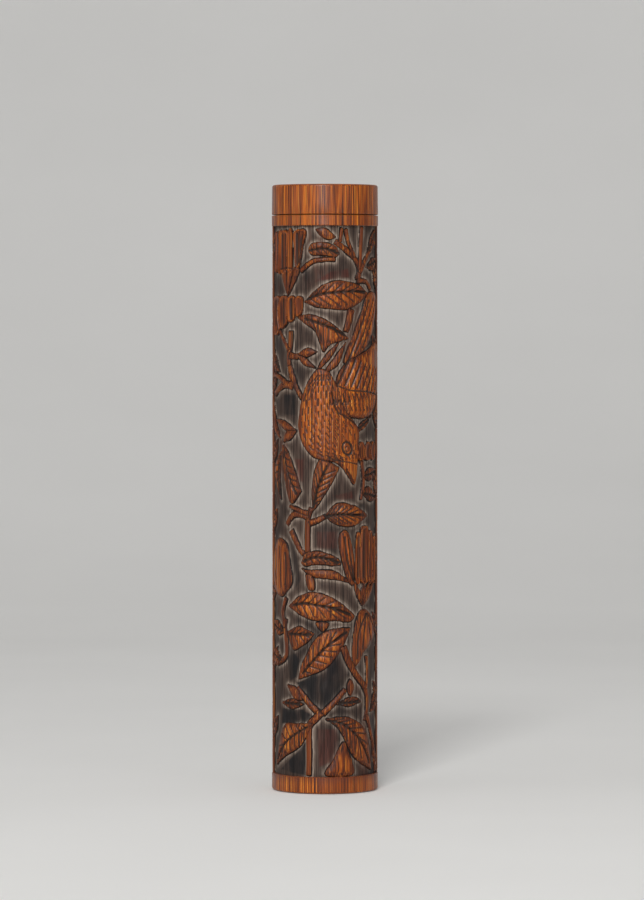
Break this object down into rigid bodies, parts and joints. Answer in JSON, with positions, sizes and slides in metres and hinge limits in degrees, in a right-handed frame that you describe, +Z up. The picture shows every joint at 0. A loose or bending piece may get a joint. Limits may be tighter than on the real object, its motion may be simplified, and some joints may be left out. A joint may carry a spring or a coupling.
{
  "type": "carved writing brush case with brush",
  "caption": "Tall round bamboo case carved in relief all round, with a lift-off lid on an inner collar, holding a large writing brush.",
  "frame": {"origin": "centre of the foot, on the surface that the case stands on", "axes": "+Z up along the axis of the case; the pictured side faces -Y, with +X on its right"},
  "size_m": [0.04, 0.04, 0.228],
  "materials": {
    "carved_bamboo": "oiled and handled, semi-gloss relief over a dusty matt ground",
    "dark_wood": "satin",
    "collar_bamboo": "scraped, satin",
    "stem_bamboo": "polished",
    "horn": "polished",
    "thread": "waxed thread",
    "soft_hair": "combed hair",
    "stiff_hair": "combed hair"
  },
  "bodies": {
    "case": {"case_tube": "carved_bamboo", "base_disc": "dark_wood"},
    "collar": {"neck_collar": "collar_bamboo"},
    "lid": {"lid_ring": "carved_bamboo", "lid_disc": "dark_wood"},
    "brush": {"brush_finial": "horn", "brush_handle": "stem_bamboo", "brush_ferrule": "horn", "tuft_binding": "thread", "brush_mantle_hair": "soft_hair", "brush_core_hair": "stiff_hair"}
  },
  "joints": [
    {"name": "lid_turn", "type": "hinge", "parent": "case", "child": "collar", "pos_m": [0, 0, 0.2165], "axis": [0, 0, 1], "continuous": true},
    {"name": "lid_lift", "type": "slide", "parent": "collar", "child": "lid", "axis": [0, 0, 1], "range_m": [0, 0.275]},
    {"name": "brush_draw", "type": "slide", "parent": "case", "child": "brush", "axis": [0, 0, 1], "range_m": [0, 0.22]}
  ],
  "couplings": [
    {"joint": "brush_draw", "follows": "lid_lift", "ratio": 0.8}
  ]
}
